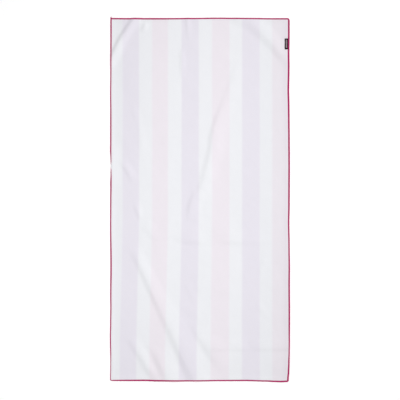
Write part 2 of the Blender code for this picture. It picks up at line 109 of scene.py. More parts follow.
# Folds: low ridges with a short steep side on the right of their line and a long gentle
# side on the left, as seen along the line. The line runs along the middle of the steep
# side. Its points are x, y, height, width of the steep side and width of the gentle side, in
# mm. A point without widths has those of the point before it.
Fold = namedtuple("Fold", "name line")
FOLDS = (
    Fold("top left corner", ((-296, 817, 4.8, 20, 38), (-311, 792, 5.2, 19, 38),
         (-361, 716, 5.6, 18, 38), (-394, 645, 4.4), (-408, 614, 3.6))),
    Fold("top left nick", ((-244, 792, 0.0, 14, 22), (-252, 772, 2.8), (-267, 748, 0.0))),
    Fold("top right corner", ((140, 815, 2.2, 36, 60), (165, 788, 2.9, 38, 60),
         (221, 766, 4.0, 40, 60), (294, 699, 4.4, 38, 52), (347, 639, 3.6, 30, 44),
         (378, 603, 1.6, 32, 44), (402, 573, 1.0))),
    Fold("upper middle", ((176, 645, 0.0, 26, 60), (153, 588, 0.8), (109, 465, 1.0),
         (70, 365, 2.6, 22, 60), (49, 299, 3.4, 24, 70), (38, 217, 3.6), (10, 105, 2.4, 26, 60),
         (-9, 43, 1.6), (-22, -4, 0.0))),
    Fold("middle break", ((-27, 52, 0.0, 20, 56), (-30, 36, 1.3), (-35, 21, 2.3, 20, 58),
         (-51, -25, 2.4, 20, 60), (-58, -73, 0.9, 20, 56), (-60, -100, 0.0))),
    Fold("lower left", ((-314, -207, 0.0, 26, 40), (-299, -246, 1.3, 26, 44),
         (-266, -315, 2.8, 25, 46), (-228, -400, 3.2, 26, 54), (-183, -499, 3.1, 28, 80),
         (-130, -611, 3.8, 34, 100), (-85, -719, 4.7, 37, 100), (-52, -787, 4.6, 44, 100),
         (-41, -815, 4.4))),
    Fold("bottom left outer", ((-322, -612, 0.0, 26, 40), (-306, -647, 1.7),
         (-270, -705, 2.7, 28, 40), (-234, -766, 3.0, 29, 40), (-212, -790, 2.6),
         (-190, -815, 2.1))),
    Fold("bottom left inner", ((-240, -632, 0.0, 32, 80), (-220, -673, 1.2),
         (-197, -718, 3.8, 34, 90), (-175, -768, 5.0, 36, 90), (-160, -795, 4.8),
         (-146, -815, 4.3))),
    Fold("bottom middle", ((-46, -545, 0.0, 24, 70), (-26, -589, 1.3, 24, 80),
         (7, -643, 2.0, 30, 90), (46, -701, 2.4, 38, 90), (69, -732, 1.6, 40, 90),
         (104, -774, 0.0))),
    Fold("lower middle", ((-74, -365, 0.0, 18, 30), (-56, -405, 0.5), (-31, -464, 0.2),
         (-20, -492, 0.0))),
    Fold("waist crease", ((-264, -122, 0.0, 26, 44), (-240, -141, 1.2, 28, 44),
         (-199, -176, 1.2, 30, 60), (-124, -172, 0.9, 34, 90), (-80, -183, 1.4), (-20, -191, 1.7),
         (30, -193, 0.8), (85, -193, 0.9), (135, -194, 1.8), (190, -195, 1.3), (276, -197, 0.8),
         (330, -199, 0.0))),
    Fold("lower crease", ((12, -670, 0.0, 26, 60), (58, -670, 1.5), (175, -668, 1.9, 24, 60),
         (218, -667, 0.9), (260, -667, 1.9), (382, -668, 2.0), (406, -669, 1.9))),
    Fold("right lower nick", ((240, -452, 0.0, 18, 28), (256, -482, 0.5), (282, -516, 0.5),
         (302, -542, 0.0))),
    Fold("right middle nick", ((282, -258, 0.0, 16, 26), (276, -277, 0.4), (260, -316, 0.3),
         (254, -338, 0.0))),
    Fold("left upper nick", ((-366, 182, 0.0, 18, 30), (-352, 158, 0.9), (-336, 135, 1.8),
         (-322, 112, 1.9), (-310, 86, 0.8), (-303, 66, 0.0))),
    Fold("left upper rib", ((-306, 410, 0.0, 18, 30), (-300, 385, 0.7), (-280, 336, 0.4),
         (-269, 243, 0.7), (-278, 172, 0.0))),
    Fold("left waist nick", ((-297, -8, 0.0, 14, 24), (-289, -38, 1.3), (-279, -66, 1.4),
         (-270, -94, 0.0))),
    Fold("upper dimple", ((-88, 676, 0.0, 14, 22), (-88, 640, 1.3), (-87, 600, 1.3),
         (-87, 570, 0.8), (-88, 540, 0.0))),
    Fold("top pucker", ((-62, 815, 1.6, 13, 18), (-62, 780, 1.6), (-60, 740, 0.7, 14, 20),
         (-58, 705, 0.0))),
)
# Steps of the smooth curve from one point of a fold's line to the next.
CURVE_STEPS = 8

# Broad low swells of the cloth: middle, half size and height, in mm.
Swell = namedtuple("Swell", "x y half_width half_length height")
SWELLS = (
    Swell(265, 60, 190, 260, 1.6),
    Swell(-215, 470, 150, 190, 1.2),
    Swell(70, -330, 150, 120, 1.3),
    Swell(250, -760, 170, 110, 0.8),
    Swell(402, -742, 130, 115, 2.4),
)

# How far inwards of the edging's middle line the cloth rests on the thread under it, and from
# where on it lies on the floor.
RAMP_START = 8.0 * MM
RAMP_END = 22.0 * MM

# Fine crumple all over: its size and rise, how far its noise is lifted before the part below
# zero is cut off, and the falloff, spacing and number of its layers.
CRUMPLE_SIZE = 85.0 * MM
CRUMPLE_RISE = 0.55 * MM
CRUMPLE_LEVEL = 0.45
CRUMPLE_LAYERS = (1.0, 2.0, 3)
# Puckers that the tight edging draws in: their length, reach and rise, how far their noise is
# lifted in the same way, and the layer of it that they are read from.
PUCKER_LENGTH = 36.0 * MM
PUCKER_REACH = 45.0 * MM
PUCKER_RISE = 0.5 * MM
PUCKER_LEVEL = 0.3
PUCKER_LAYER = 7.0

# A stretch of the left-hand hem is turned under: gently over a long way, and fully over a
# short way in its middle. Where its middle is, and how much and how far each of the two turns.
TURN_MIDDLE = 149.0 * MM
TURN_GENTLE = 0.56
TURN_GENTLE_REACH = 130.0 * MM
TURN_FULL = 0.27
TURN_FULL_REACH = 24.0 * MM
# Where it bends, from well outside the edging to well inside, and how tightly.
BEND_OUTSIDE = 4.0 * MM
BEND_INSIDE = 6.2 * MM
BEND_RADIUS = 0.93 * MM
# How far a whole turn draws the cloth out, the power of its share by which part of a turn does,
# and over what width that levels out again.
TURN_DRAWN = 5.0 * MM
TURN_DRAWN_POWER = 3
TURN_DRAWN_WIDTH = 50.0 * MM
# How far the layers under it raise it, the share of a turn at which it is fully raised, and how
# far inwards it stays level and then slopes down. The turned layers are pressed to a share of
# their thickness.
TURN_RISE = 1.6 * MM
TURN_RISEN = TURN_GENTLE / 2
TURN_RISE_FLAT = 14.0 * MM
TURN_RISE_SLOPE = 36.0 * MM
TURN_PRESS = 0.6
# Places of the sheet's points from the cut edge inwards, at a plain edge and at the side with
# the turned hem, in mm, and the spacing of rows and of thread points along that hem.
EDGE_COLUMNS = (0.0, 1.3, 2.8, 4.6, 6.8, 9.6, 13.0)
TURN_COLUMNS = (0.0, 0.6, 1.2, 1.8, 2.4, 3.0, 3.6, 4.2, 4.8, 5.4, 6.0, 6.6, 7.2, 7.8, 8.4, 9.0,
                10.2, 13.6)
TURN_ROW_STEP = 2.4 * MM
TURN_THREAD_STEP = 0.6 * MM

# Stripes from the left edge to the right: where each ends in mm, its tone, and how strong it is
# where that isn't full strength.
Stripe = namedtuple("Stripe", "end tone strength", defaults=(1.0,))
STRIPES = (
    Stripe(-343.4, "mint"),
    Stripe(-270.5, "lilac"),
    Stripe(-212.2, "mint", 0.3),
    Stripe(-142.0, "pink"),
    Stripe(-81.6, "white"),
    Stripe(-5.1, "lilac"),
    Stripe(54.0, "white"),
    Stripe(131.4, "pink"),
    Stripe(187.4, "white"),
    Stripe(265.6, "lilac"),
    Stripe(321.2, "mint"),
    Stripe(362.0, "outer", 0.9),
    Stripe(400.0, "outer"),
)
# Half width of the soft change between two stripes, how far their edges wander, and how far
# past the edging's middle line the first one starts.
STRIPE_BLEND = 6.0 * MM
STRIPE_WANDER = 3.0 * MM
STRIPE_MARGIN = 5.0 * MM
# The stripes lean to the left towards the bottom, most of all on the left half: from which y
# down to which, from which x to which, and how far.
LEAN_TOP = 0.0
LEAN_BOTTOM = -0.76
LEAN_RIGHT = 0.24
LEAN_LEFT = -0.14
LEAN_WIDTH = 13.0 * MM

# Painted shade along the lines pressed into the cloth when it was folded up: y, from x, to x,
# half width, in mm, and how much the painted shade darkens the cloth there.
CreaseShadeLine = namedtuple("CreaseShadeLine", "y start end half_width shade")
CREASE_SHADE_LINES = (
    CreaseShadeLine(-193.0, -60.0, -6.0, 13.0, 0.013),
    CreaseShadeLine(-193.0, 115.0, 184.0, 13.0, 0.013),
    CreaseShadeLine(-193.0, 205.0, 300.0, 13.0, 0.006),
    CreaseShadeLine(-668.0, 55.0, 182.0, 9.0, 0.011),
    CreaseShadeLine(-668.0, 256.0, 400.0, 9.0, 0.011),
)
# The length over which painted crease shade fades at its ends, in mm, and its least strength.
PRESS_FADE = 24.0
PRESS_LEAST = 0.5

# Pile: how much finer the fibres are than the tufts and how far they stand up beside them, and
# the painted shade of the hollows between the tufts and how much lighter the tufts' tops are painted.
FIBRE_FINENESS = 2.6
FIBRE_HEIGHT = 0.35
GROUND_SHADE = 0.965
TUFT_SHADE = 0.05
# How much of the print shows through on the back.
REVERSE_STRENGTH = 0.15

# Thread: how many plies it has, how deep the grooves between them are, its painted shade in the
# grooves, how much lighter its tops are painted, and twists per metre on the edging and label's bar.
PLIES = 3.0
PLY_DEPTH = 0.3
PLY_DARK = 0.84
PLY_LIGHT = 0.22
THREAD_TWISTS = 900.0
BAR_TWISTS = 600.0

# Ribs of the ribbon: direction and spacing, and the painted shade between them and painted light
# on them. The wave node's bands lie one tenth of pi apart at a scale of 1.
RIBS = (("X", 0.32 * MM), ("Y", 0.42 * MM))
RIB_DARK = 0.55
RIB_LIGHT = 0.9
WAVE_SPACING = math.pi / 10


def length_property(name, description, default, low):
    return bpy.props.FloatProperty(name=name, description=description, default=default, min=low,
                                   subtype="DISTANCE", unit="LENGTH")


def angle_property(name, description, degrees):
    return bpy.props.FloatProperty(name=name, description=description, default=math.radians(degrees),
                                   subtype="ANGLE", unit="ROTATION")


def colour_property(name, description, default):
    return bpy.props.FloatVectorProperty(name=name, description=description, default=default,
                                         size=3, min=0.0, max=1.0, subtype="COLOR")


class TowelSizes(bpy.types.PropertyGroup):
    """Sizes of the cloth, its edging and its label."""

    thickness: length_property("Cloth thickness", "Thickness of the towelling", 1.4 * MM, 0.5 * MM)
    mesh_step: length_property("Mesh step", "Spacing of the cloth's points", 6.2 * MM, 3.0 * MM)
    edging_width: length_property("Edging width", "Width of the edging from above", 6.6 * MM, 3.0 * MM)
    thread: length_property("Thread", "Diameter of the overlock thread", 0.5 * MM, 0.2 * MM)
    pitch: length_property("Stitch length", "Length of one overlock stitch", 2.1 * MM, 1.0 * MM)
    tail: length_property("Tail", "Length of the thread tail at the top left", 9.0 * MM, 0.0)
    ribbon: length_property("Ribbon thickness", "Thickness of one layer of ribbon", 0.36 * MM, 0.1 * MM)
    bar_width: length_property("Bar width", "Width of the bar on the label", 6.6 * MM, 1.0 * MM)
    bar_length: length_property("Bar length", "Length of the bar on the label", 36.0 * MM, 5.0 * MM)


class TowelColours(bpy.types.PropertyGroup):
    """Colours of the yarns and threads, in linear light."""

    white: colour_property("White", "Ground of the cloth", (0.708, 0.713, 0.741))
    mint: colour_property("Mint", "Palest stripes", (0.692, 0.697, 0.727))
    lilac: colour_property("Lilac", "Lilac stripes", (0.665, 0.643, 0.703))
    pink: colour_property("Pink", "Pink stripes", (0.704, 0.665, 0.710))
    outer: colour_property("Outer pink", "Pink stripe by the right edge", (0.676, 0.640, 0.683))
    reverse: colour_property("Reverse", "Unprinted back of the cloth", (0.700, 0.702, 0.718))
    thread: colour_property("Edging thread", "Overlock thread", (0.430, 0.010, 0.120))
    ribbon: colour_property("Label ribbon", "Ground of the label", (0.006, 0.004, 0.005))
    bar: colour_property("Label bar", "Satin bar on the label", (0.300, 0.235, 0.265))


class TowelStage(bpy.types.PropertyGroup):
    """Floor, lights and camera."""

    floor: colour_property("Floor", "Plain pale floor", (0.97, 0.97, 0.97))
    key_power: bpy.props.FloatProperty(
        name="Key light", description="Strength of the light from the right", default=1.87, min=0.0)
    key_height: angle_property("Key elevation", "Angle of the key light above the floor", 25)
    key_turn: angle_property("Key direction", "Turn of the key light from the right to the top end", 18)
    top_power: bpy.props.FloatProperty(
        name="Top light", description="Power of the soft light over the towel",
        default=5.95, min=0.0, subtype="POWER", unit="POWER")
    ambient: bpy.props.FloatProperty(
        name="Ambient", description="Strength of the even light all round", default=0.675, min=0.0)
    view_width: length_property("View width", "Width of floor that the camera sees", 1.778, 0.1)


# ---------------------------------------------------------------- the towel's form


def smooth(value):
    """Ease from 0 to 1 over the unit range, level at both ends."""
    value = np.clip(value, 0.0, 1.0)
    return value * value * (3.0 - 2.0 * value)


def read_side(table, along):
    """How far inside its straight line a side lies, at places along it."""
    places = np.array([row[0] for row in table]) * MM
    insets = np.array([row[1] for row in table]) * MM
    nxt = np.clip(np.searchsorted(places, along), 1, len(places) - 1)
    share = smooth((along - places[nxt - 1]) / (places[nxt] - places[nxt - 1]))
    return insets[nxt - 1] + (insets[nxt] - insets[nxt - 1]) * share


def edging_spread(along):
    """How wide the edging lies, at distances along its line."""
    places, widths = np.array(EDGING_SPREAD).T
    return np.interp(along, places * MM, widths)


def left_x(y):
    return -HALF_WIDTH + read_side(LEFT_SIDE, y)


def right_x(y):
    return HALF_WIDTH - read_side(RIGHT_SIDE, y)


def top_y(x):
    return HALF_LENGTH - read_side(TOP_SIDE, x)


def bottom_y(x):
    return -HALF_LENGTH + read_side(BOTTOM_SIDE, x)


def fold_curve(fold):
    """Points of a smooth curve through a fold's line: x, y, height and the two widths, in metres."""
    rows = []
    for x, y, height, *widths in fold.line:
        rows.append((x, y, height, *(widths or rows[-1][3:])))
    rows = np.array(rows, float) * MM
    rows = np.vstack([2 * rows[0] - rows[1], rows, 2 * rows[-1] - rows[-2]])
    rows[[0, -1], 3:] = rows[[1, -2], 3:]
    points = []
    for first in range(len(rows) - 3):
        a, b, c, d = rows[first:first + 4]
        for step in range(CURVE_STEPS):
            u = step / CURVE_STEPS
            points.append(0.5 * (2 * b + (c - a) * u + (2 * a - 5 * b + 4 * c - d) * u ** 2
                                 + (3 * b - 3 * c + d - a) * u ** 3))
    points.append(rows[-2])
    curve = np.array(points)
    curve[:, 2] = np.maximum(curve[:, 2], 0.0)
    return curve


def fold_rise(fold, places):
    """Height that one fold adds at each x, y place."""
    curve = fold_curve(fold)
    reach = curve[:, 3:].sum(1).max()
    low, high = curve[:, :2].min(0) - reach, curve[:, :2].max(0) + reach
    near = np.all((places > low) & (places < high), axis=1)
    rise = np.zeros(len(places))
    rise[near] = ridge(curve, places[near])
    return rise


def ridge(curve, places):
    """Height of a ridge along a curve, at each x, y place."""
    nearest = np.full(len(places), np.inf)
    rise = np.zeros(len(places))
    for start, end in zip(curve[:-1], curve[1:]):
        run = end[:2] - start[:2]
        offset = places - start[:2]
        share = np.clip(offset @ run / float(run @ run), 0.0, 1.0)
        away = offset - share[:, None] * run
        distance = np.hypot(away[:, 0], away[:, 1])
        side = np.where(offset[:, 1] * run[0] - offset[:, 0] * run[1] >= 0.0, 1.0, -1.0)
        height, steep, gentle = (start[k] + (end[k] - start[k]) * share for k in (2, 3, 4))
        across = side * distance
        climb = smooth(across / steep + 0.5)
        fall = 1.0 - smooth((across - steep / 2) / gentle)
        closer = distance < nearest
        rise = np.where(closer, height * climb * fall, rise)
        nearest = np.where(closer, distance, nearest)
    return rise


def swell_rise(swell, places):
    """Height that one broad swell adds at each x, y place."""
    u = (places[:, 0] / MM - swell.x) / swell.half_width
    v = (places[:, 1] / MM - swell.y) / swell.half_length
    return swell.height * MM * (1.0 - smooth(np.hypot(u, v)))


def edge_distance(places):
    """Distance from each place inwards from the edging's middle line."""
    x, y = places[:, 0], places[:, 1]
    return np.minimum.reduce((x - left_x(y), right_x(y) - x, top_y(x) - y, y - bottom_y(x)))


def crumple_rise(places):
    """Fine unevenness: soft crumple inside, and puckers beside the edging."""
    scaled = places / CRUMPLE_SIZE
    soft = np.array([noise.fractal(Vector((x, y, 0.0)), *CRUMPLE_LAYERS) for x, y in scaled])
    inside = edge_distance(places)
    rise = CRUMPLE_RISE * np.clip(CRUMPLE_LEVEL + soft, 0.0, None)
    ripple_at = places / PUCKER_LENGTH
    ripple = np.array([noise.noise(Vector((x, y, PUCKER_LAYER))) for x, y in ripple_at])
    near_edge = 1.0 - smooth(inside / PUCKER_REACH)
    return rise + PUCKER_RISE * np.clip(PUCKER_LEVEL + ripple, 0.0, None) * near_edge


def ground_rise(places):
    """Height of the folded surface above the floor."""
    places = np.asarray(places, float).reshape(-1, 2)
    rise = sum(fold_rise(fold, places) for fold in FOLDS)
    rise += sum(swell_rise(swell, places) for swell in SWELLS)
    return rise + crumple_rise(places)


def cloth_underside(places, thread):
    """Height of the cloth's underside, raised near the edge by the thread under it."""
    places = np.asarray(places, float).reshape(-1, 2)
    ramp = smooth((edge_distance(places) - RAMP_START) / (RAMP_END - RAMP_START))
    return ground_rise(places) + (thread + GAP) * (1.0 - ramp)


def turned_share(y):
    """How far the left-hand hem is turned under at y, from 0 to 1."""
    away = np.abs(y - TURN_MIDDLE)
    gentle = TURN_GENTLE * (1.0 - smooth(away / TURN_GENTLE_REACH))
    return gentle + TURN_FULL * (1.0 - smooth(away / TURN_FULL_REACH))


def turn_under(points, sizes):
    """Fold the points along the turned stretch of the left-hand hem under the cloth."""
    points = np.array(points, float)
    places = points[:, :2].copy()
    inside = places[:, 0] - left_x(places[:, 1])
    share = turned_share(places[:, 1])
    drawn = TURN_DRAWN * share ** TURN_DRAWN_POWER
    points[:, 0] -= drawn * (1.0 - smooth(inside / TURN_DRAWN_WIDTH))
    raised = TURN_RISE * smooth(share / TURN_RISEN)
    points[:, 2] += raised * (1.0 - smooth((inside - TURN_RISE_FLAT) / TURN_RISE_SLOPE))
    bend = left_x(places[:, 1]) - drawn - BEND_OUTSIDE + (BEND_INSIDE + BEND_OUTSIDE) * share
    beyond = bend - points[:, 0]
    near = (share > 0.0) & (beyond > 0.0)
    beyond, bend = beyond[near], bend[near]
    middle = cloth_underside(places[near], sizes.thread) + sizes.thickness / 2 + raised[near]
    above = points[near, 2] - middle
    angle = np.minimum(beyond / BEND_RADIUS, math.pi)
    back = beyond - BEND_RADIUS * angle
    above *= 1.0 - (1.0 - TURN_PRESS) * smooth(angle / math.pi)
    points[near, 0] = bend + back - (BEND_RADIUS + above) * np.sin(angle)
    points[near, 2] = middle - BEND_RADIUS + (BEND_RADIUS + above) * np.cos(angle)
    return points


def corner_arc(corner, radius, start_angle):
    """Points of the quarter circle that rounds a corner, clockwise from start_angle."""
    middle = [place - math.copysign(radius, place) for place in corner]
    angles = [start_angle - math.pi / 2 * step / ARC_STEPS for step in range(1, ARC_STEPS)]
    return [(middle[0] + radius * math.cos(a), middle[1] + radius * math.sin(a)) for a in angles]


def corner_points():
    """Where the four sides' middle lines meet: top left, top right, bottom right, bottom left."""
    return (
        (left_x(HALF_LENGTH), top_y(-HALF_WIDTH)), (right_x(HALF_LENGTH), top_y(HALF_WIDTH)),
        (right_x(-HALF_LENGTH), bottom_y(HALF_WIDTH)), (left_x(-HALF_LENGTH), bottom_y(-HALF_WIDTH)),
    )


def edging_run(tail):
    """The edging's middle line, clockwise from the top left corner to the tip of its tail."""
    top_left, top_right, bottom_right, bottom_left = corner_points()
    _, radius_tr, radius_br, radius_bl = CORNER_RADII

    def spread(start, end):
        return np.linspace(start, end, max(2, round(abs(end - start) / EDGING_STEP)))

    line = [(x, top_y(x)) for x in spread(top_left[0] + GAP, top_right[0] - radius_tr)]
    line += corner_arc(top_right, radius_tr, math.pi / 2)
    line += [(right_x(y), y) for y in spread(top_right[1] - radius_tr, bottom_right[1] + radius_br)]
    line += corner_arc(bottom_right, radius_br, 0.0)
    line += [(x, bottom_y(x)) for x in spread(bottom_right[0] - radius_br, bottom_left[0] + radius_bl)]
    line += corner_arc(bottom_left, radius_bl, -math.pi / 2)
    line += [(left_x(y), y) for y in spread(bottom_left[1] + radius_bl, top_left[1])]
    line += [(top_left[0], y) for y in spread(top_left[1], top_left[1] + tail)[1:]]
    return np.array(line, float)


class Run:
    """A line in the plane that can be read at any length along it."""

    def __init__(self, line):
        self.line = line
        steps = np.hypot(*np.diff(line, axis=0).T)
        self.reach = np.concatenate([[0.0], np.cumsum(steps)])
        along = np.gradient(line, axis=0)
        along /= np.hypot(along[:, 0], along[:, 1])[:, None]
        self.out = np.column_stack([-along[:, 1], along[:, 0]])
        self.length = self.reach[-1]

    def at(self, along, outward):
        """Places a distance along the line and a distance outwards from it."""
        point = np.column_stack([np.interp(along, self.reach, self.line[:, k]) for k in (0, 1)])
        normal = np.column_stack([np.interp(along, self.reach, self.out[:, k]) for k in (0, 1)])
        normal /= np.hypot(normal[:, 0], normal[:, 1])[:, None]
        return point + normal * np.asarray(outward)[:, None]


# ---------------------------------------------------------------- meshes


def add_piece(name, points, faces, materials, face_materials=None, uvs=None):
    """A smooth-shaded mesh that rides on the towel's one body."""
    mesh = bpy.data.meshes.new(name)
    mesh.from_pydata([tuple(point) for point in points], [], [tuple(face) for face in faces])
    for material in materials:
        mesh.materials.append(material)
    mesh.shade_smooth()
    if face_materials is not None:
        mesh.polygons.foreach_set("material_index", np.asarray(face_materials, np.int32))
    if uvs is not None:
        layer = mesh.uv_layers.new(name="thread")
        layer.data.foreach_set("uv", np.asarray(uvs, np.float32).ravel())
    mesh.update()
    piece = bpy.data.objects.new(name, mesh)
    bpy.context.scene.collection.objects.link(piece)
    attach(piece, "root")
    return piece


def tube_faces(rings, sides):
    """Faces of a closed tube of rings of points, with a cap at each end."""
    rows = np.arange(rings - 1)[:, None] * sides
    here = np.arange(sides)[None, :]
    following = (here + 1) % sides
    faces = np.stack([rows + here, rows + following, rows + following + sides, rows + here + sides], 2)
    last = (rings - 1) * sides
    caps = [tuple(range(sides - 1, -1, -1)), tuple(range(last, last + sides))]
    return [tuple(face) for face in faces.reshape(-1, 4)] + caps


def tube_uvs(reach, sides):
    """Coordinates of such a tube's face corners: metres along it, and turns round it."""
    u_low, u_high = np.repeat(reach[:-1], sides), np.repeat(reach[1:], sides)
    v_low = np.tile(np.arange(sides), len(reach) - 1) / sides
    v_high = v_low + 1.0 / sides
    uvs = np.stack([u_low, v_low, u_low, v_high, u_high, v_high, u_high, v_low], 1).reshape(-1, 2)
    cap_uvs = np.zeros((2 * sides, 2))
    return np.vstack([uvs, cap_uvs])


def sweep_thread(path, radius, sides):
    """A round thread along a path: its points, faces and thread coordinates."""
    path = np.asarray(path, float)
    along = np.gradient(path, axis=0)
    along /= np.linalg.norm(along, axis=1)[:, None]
    side = np.empty_like(path)
    guide = np.cross(along[0], (0.0, 0.0, 1.0))
    for index, direction in enumerate(along):
        guide = guide - direction * float(guide @ direction)
        guide /= math.sqrt(float(guide @ guide))
        side[index] = guide
    other = np.cross(along, side)
    turn = 2 * math.pi * np.arange(sides) / sides
    ring = side[:, None] * np.cos(turn)[None, :, None] + other[:, None] * np.sin(turn)[None, :, None]
    points = (path[:, None] + radius * ring).reshape(-1, 3)
    reach = np.concatenate([[0.0], np.cumsum(np.linalg.norm(np.diff(path, axis=0), axis=1))])
    return points, tube_faces(len(path), sides), tube_uvs(reach, sides)


def finer_thread(path):
    """The path with more points where it runs round the turned hem."""
    lengths = np.linalg.norm(np.diff(path, axis=0), axis=1)
    near = np.abs(path[1:, 1] - TURN_MIDDLE) < TURN_GENTLE_REACH
    near &= path[1:, 0] < 0.0
    counts = np.where(near, np.ceil(lengths / TURN_THREAD_STEP).astype(int), 1)
    first = np.repeat(np.arange(len(counts)), counts)
    share = np.concatenate([np.arange(count) / count for count in counts])
    points = path[first] + (path[first + 1] - path[first]) * share[:, None]
    return np.vstack([points, path[-1]])


def join_threads(threads):
    """Several threads as one set of points, faces and thread coordinates."""
    points, faces, uvs, base = [], [], [], 0
    for part_points, part_faces, part_uvs in threads:
        points.append(part_points)
        faces += [tuple(base + corner for corner in face) for face in part_faces]
        uvs.append(part_uvs)
        base += len(part_points)
    return np.vstack(points), faces, np.vstack(uvs)


def graded(half, step, first=EDGE_COLUMNS):
    """Places from -half to half: finer at both ends, in even steps between."""
    first, last = np.array(first) * MM, np.array(EDGE_COLUMNS) * MM
    start, end = -half + first[-1], half - last[-1]
    even = np.linspace(start, end, round((end - start) / step) + 1)
    return np.concatenate([-half + first[:-1], even, half - last[-2::-1]])


def finer_at_turn(along, y):
    """Steps along a line that are finer where the line's y lies in the turned hem."""
    turned = np.abs(y - TURN_MIDDLE) < TURN_FULL_REACH
    start, end = along[turned].min(), along[turned].max()
    fine = np.linspace(start, end, round((end - start) / TURN_ROW_STEP) + 1)
    return np.concatenate([along[along < start], fine, along[along > end]])


def round_corner(places, corner, radius):
    """Draw the places in a corner's square in, so that the corner is round."""
    toward = np.sign(corner)
    centre = corner - toward * radius
    offset = (places - centre) * toward
    inside = np.all(offset > 0.0, axis=1)
    square = offset[inside].max(axis=1)
    round_off = square / np.hypot(offset[inside, 0], offset[inside, 1])
    places[inside] += (offset[inside] * toward) * (round_off[:, None] - 1.0)


def cloth_grid(step, overhang):
    """The sheet's places as rows from bottom to top, out to its cut edge."""
    half_wide, half_long = HALF_WIDTH + overhang, HALF_LENGTH + overhang
    columns = graded(half_wide, step, first=TURN_COLUMNS)
    rows = graded(half_long, step)
    rows = finer_at_turn(rows, rows)
    share_x = (columns + half_wide) / (2 * half_wide)
    share_y = (rows + half_long) / (2 * half_long)
    grid_x, grid_y = np.meshgrid(columns, rows)
    low, high = bottom_y(grid_x) - overhang, top_y(grid_x) + overhang
    grid_y = low + (high - low) * share_y[:, None]
    low, high = left_x(grid_y) - overhang, right_x(grid_y) + overhang
    grid_x = low + (high - low) * share_x[None, :]
    places = np.column_stack([grid_x.ravel(), grid_y.ravel()])
    for corner, radius in zip(corner_points(), CORNER_RADII):
        corner = np.array(corner, float)
        round_corner(places, corner + np.sign(corner) * overhang, radius + overhang)
    return places, len(columns), len(rows)


def sheet_faces(wide, tall):
    """Faces of a closed sheet, and the material of each: 0 on its top side and 1 elsewhere."""
    count = wide * tall
    rows = np.arange(tall - 1)[:, None] * wide
    here = (rows + np.arange(wide - 1)[None, :]).ravel()
    top = np.stack([here, here + 1, here + wide + 1, here + wide], 1)
    under = top[:, ::-1] + count
    ring = list(range(wide)) + [row * wide + wide - 1 for row in range(1, tall)]
    ring += [(tall - 1) * wide + column for column in range(wide - 2, -1, -1)]
    ring += [row * wide for row in range(tall - 2, 0, -1)]
    rim = [(a + count, b + count, b, a) for a, b in zip(ring, ring[1:] + ring[:1])]
    faces = [tuple(face) for face in top] + [tuple(face) for face in under] + rim
    return faces, [0] * len(top) + [1] * (len(under) + len(rim))


# ---------------------------------------------------------------- materials


def set_inputs(tree, node, inputs):
    """Set a node's inputs, each to a value or to the output socket that feeds it."""
    for name, value in inputs.items():
        if isinstance(value, bpy.types.NodeSocket):
            tree.links.new(value, node.inputs[name])
        else:
            node.inputs[name].default_value = value


def add_node(tree, kind, inputs=None, **settings):
    node = tree.nodes.new(kind)
    for name, value in settings.items():
        setattr(node, name, value)
    set_inputs(tree, node, inputs or {})
    return node


def math_node(tree, operation, *values):
    return add_node(tree, "ShaderNodeMath", dict(enumerate(values)), operation=operation).outputs[0]


def noise_node(tree, **inputs):
    return add_node(tree, "ShaderNodeTexNoise", inputs).outputs["Fac"]


def soft_step(tree, value, start, end, high=1.0):
    """Ease from 0 at start to high at end."""
    node = add_node(tree, "ShaderNodeMapRange",
                    {"Value": value, "From Min": start, "From Max": end, "To Min": 0.0, "To Max": high},
                    interpolation_type="SMOOTHSTEP")
    return node.outputs["Result"]


def new_group(name, numbers, outputs):
    """A shader node group: a Vector input, number inputs with their defaults, and its outputs."""
    group = bpy.data.node_groups.new(name, "ShaderNodeTree")
    group.interface.new_socket("Vector", in_out="INPUT", socket_type="NodeSocketVector")
    for label, default in numbers.items():
        socket = group.interface.new_socket(label, in_out="INPUT", socket_type="NodeSocketFloat")
        socket.default_value = default
    for label, kind in outputs.items():
        group.interface.new_socket(label, in_out="OUTPUT", socket_type=kind)
    return group, group.nodes.new("NodeGroupInput").outputs, group.nodes.new("NodeGroupOutput")


def pile_group():
    """Short dense pile: small tufts, finer fibres and a soft lie of the nap, with painted shade between
    the tufts.
    """
    group, given, result = new_group(
        "towelling_pile", {"Tuft Scale": 900.0, "Nap Scale": 22.0, "Nap Amount": 0.02},
        {"Shade": "NodeSocketFloat", "Height": "NodeSocketFloat"})
    tufts = add_node(group, "ShaderNodeTexVoronoi",
                     {"Vector": given["Vector"], "Scale": given["Tuft Scale"],
                      "Smoothness": 0.35, "Randomness": 0.75}, feature="SMOOTH_F1")
    mounds = math_node(group, "SUBTRACT", 1.0, tufts.outputs["Distance"])
    finer = math_node(group, "MULTIPLY", given["Tuft Scale"], FIBRE_FINENESS)
    fibres = noise_node(group, Vector=given["Vector"], Scale=finer, Detail=3.0, Roughness=0.6)
    nap = noise_node(
        group, Vector=given["Vector"], Scale=given["Nap Scale"], Detail=4.0, Roughness=0.55)
    lie = math_node(group, "SUBTRACT", nap, 0.5)
    lie = math_node(group, "MULTIPLY", lie, given["Nap Amount"])
    # Painted shade: darker in the hollows between the tufts, lighter on their tops.
    tuft_painted_shade = math_node(group, "MULTIPLY_ADD", mounds, TUFT_SHADE, GROUND_SHADE)
    set_inputs(group, result, {
        "Shade": math_node(group, "ADD", tuft_painted_shade, lie),
        "Height": math_node(group, "MULTIPLY_ADD", fibres, FIBRE_HEIGHT, mounds)})
    return group


